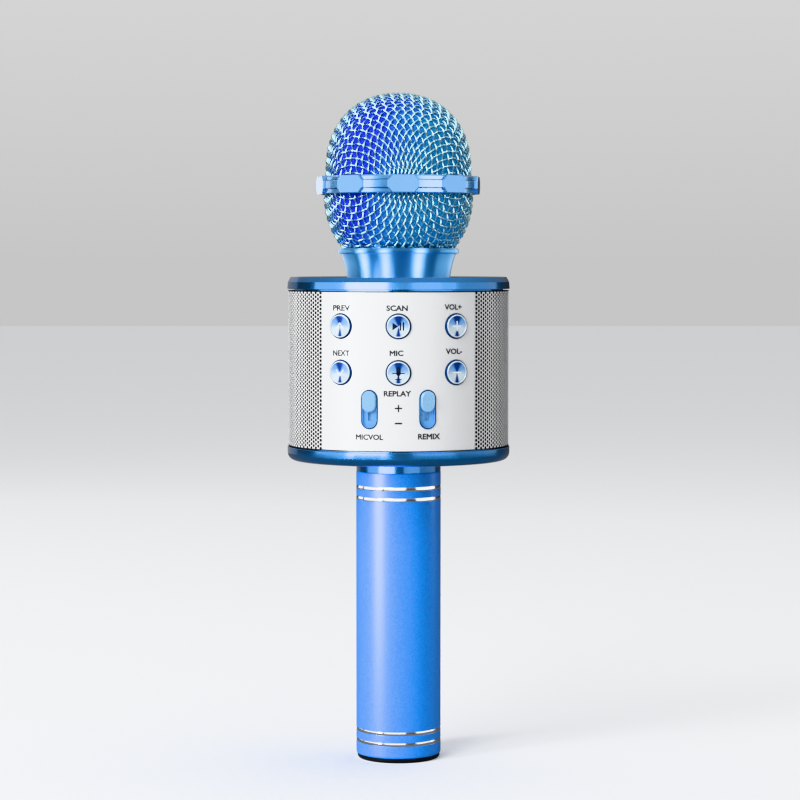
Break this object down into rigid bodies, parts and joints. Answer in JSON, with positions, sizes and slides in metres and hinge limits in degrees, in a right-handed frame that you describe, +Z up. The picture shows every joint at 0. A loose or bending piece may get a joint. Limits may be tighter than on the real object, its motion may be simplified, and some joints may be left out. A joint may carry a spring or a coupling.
{
  "type": "karaoke microphone",
  "caption": "Hand-held karaoke microphone with a woven ball grille, a speaker drum with keys and slide controls, a rear port panel and a straight grip.",
  "frame": {"origin": "centre of the end cap's resting face", "axes": "+Z up the grip's axis to the grille, the key panel faces -Y, the ports face +Y"},
  "size_m": [0.075, 0.0757, 0.225],
  "materials": {
    "mesh_wire": "blue-tinted woven steel wire",
    "blue_metal": "glossy metallic blue",
    "foam": "open-cell blue foam",
    "black_plastic": "moulded, fine texture",
    "black_rubber": "soft",
    "plated_metal": "nickel plated",
    "lead_jacket": "pvc jacket",
    "blue_gloss": "metallic blue lacquer",
    "screw_steel": "zinc plated",
    "silver_panel": "pearl silver paint",
    "knob_plastic": "satin pale blue",
    "circuit_board": "green solder mask",
    "component_black": "epoxy",
    "clear_lens": "light pipe",
    "anodised_blue": "satin blue anodised",
    "cell_sleeve": "shrink sleeve",
    "pad_foam": "closed-cell foam",
    "plated_key": "spun chrome plated",
    "ferrite": "sintered ferrite",
    "cone_paper": "pressed paper",
    "grille_sheet": "white-silver painted sheet",
    "dust_cloth": "woven"
  },
  "bodies": {
    "root": {"neck_collar": "blue_metal", "capsule_post": "black_plastic", "capsule_mount": "black_rubber", "mic_capsule": "plated_metal", "capsule_lead": "lead_jacket", "top_cover": "blue_gloss", "bottom_cover": "blue_gloss", "cover_screws": "screw_steel", "spigot_nuts": "screw_steel", "front_panel": "silver_panel", "tact_switches": "black_plastic", "slider_trays": "plated_metal", "slide_pots": "plated_metal", "main_board": "circuit_board", "board_components": "component_black", "drum_chassis": "black_plastic", "chassis_screws": "screw_steel", "hookup_wires": "lead_jacket", "rear_panel": "silver_panel", "port_board": "circuit_board", "usb_socket": "plated_metal", "charging_socket": "plated_metal", "socket_inserts": "black_plastic", "card_slot": "plated_metal", "audio_jack": "black_plastic", "power_switch_body": "black_plastic", "charge_light": "clear_lens", "handle_collar": "blue_metal", "handle_tube": "anodised_blue", "battery_cell": "cell_sleeve", "battery_cradle": "black_plastic", "battery_pads": "pad_foam", "end_cap": "black_plastic", "end_cap_screw": "screw_steel", "left_speaker_basket": "plated_metal", "left_speaker_magnet": "ferrite", "left_speaker_cone": "cone_paper", "left_speaker_grille": "grille_sheet", "left_dust_cloth": "dust_cloth", "right_speaker_basket": "plated_metal", "right_speaker_magnet": "ferrite", "right_speaker_cone": "cone_paper", "right_speaker_grille": "grille_sheet", "right_dust_cloth": "dust_cloth"},
    "windscreen": {"foam_windscreen": "foam"},
    "grille_head": {"upper_grille_mesh": "mesh_wire", "lower_grille_mesh": "mesh_wire", "grille_band": "blue_metal", "grille_thread_ring": "blue_metal"},
    "mic_volume": {"mic_volume_knob": "knob_plastic", "mic_volume_lever": "black_plastic"},
    "remix": {"remix_knob": "knob_plastic", "remix_lever": "black_plastic"},
    "power_switch": {"power_switch_knob": "black_plastic"},
    "previous_key": {"previous_key": "plated_key"},
    "next_key": {"next_key": "plated_key"},
    "scan_key": {"scan_key": "plated_key"},
    "mic_key": {"mic_key": "plated_key"},
    "volume_up_key": {"volume_up_key": "plated_key"},
    "volume_down_key": {"volume_down_key": "plated_key"}
  },
  "joints": [
    {"name": "previous_key_press", "type": "slide", "parent": "root", "child": "previous_key", "axis": [0.5075, 0.8616, 0], "range_m": [0, 0.0005], "stiffness_N_per_m": 3000},
    {"name": "next_key_press", "type": "slide", "parent": "root", "child": "next_key", "axis": [0.5075, 0.8616, 0], "range_m": [0, 0.0005], "stiffness_N_per_m": 3000},
    {"name": "scan_key_press", "type": "slide", "parent": "root", "child": "scan_key", "axis": [0, 1, 0], "range_m": [0, 0.0005], "stiffness_N_per_m": 3000},
    {"name": "mic_key_press", "type": "slide", "parent": "root", "child": "mic_key", "axis": [0, 1, 0], "range_m": [0, 0.0005], "stiffness_N_per_m": 3000},
    {"name": "volume_up_key_press", "type": "slide", "parent": "root", "child": "volume_up_key", "axis": [-0.5075, 0.8616, 0], "range_m": [0, 0.0005], "stiffness_N_per_m": 3000},
    {"name": "volume_down_key_press", "type": "slide", "parent": "root", "child": "volume_down_key", "axis": [-0.5075, 0.8616, 0], "range_m": [0, 0.0005], "stiffness_N_per_m": 3000},
    {"name": "mic_volume_slide", "type": "slide", "parent": "root", "child": "mic_volume", "axis": [0, 0, -1], "range_m": [0, 0.0052]},
    {"name": "remix_slide", "type": "slide", "parent": "root", "child": "remix", "axis": [0, 0, -1], "range_m": [0, 0.0052]},
    {"name": "power_switch_slide", "type": "slide", "parent": "root", "child": "power_switch", "axis": [1, 0, 0], "range_m": [0, 0.003]},
    {"name": "grille_lift", "type": "slide", "parent": "root", "child": "windscreen", "axis": [0, 0, 1], "range_m": [0, 0.006]},
    {"name": "grille_unscrew", "type": "hinge", "parent": "windscreen", "child": "grille_head", "pos_m": [0, 0, 0.19], "axis": [0, 0, 1], "range_deg": [0, 1440]}
  ],
  "couplings": [
    {"joint": "grille_lift", "follows": "grille_unscrew", "m_per_rad": 0.00023873}
  ]
}
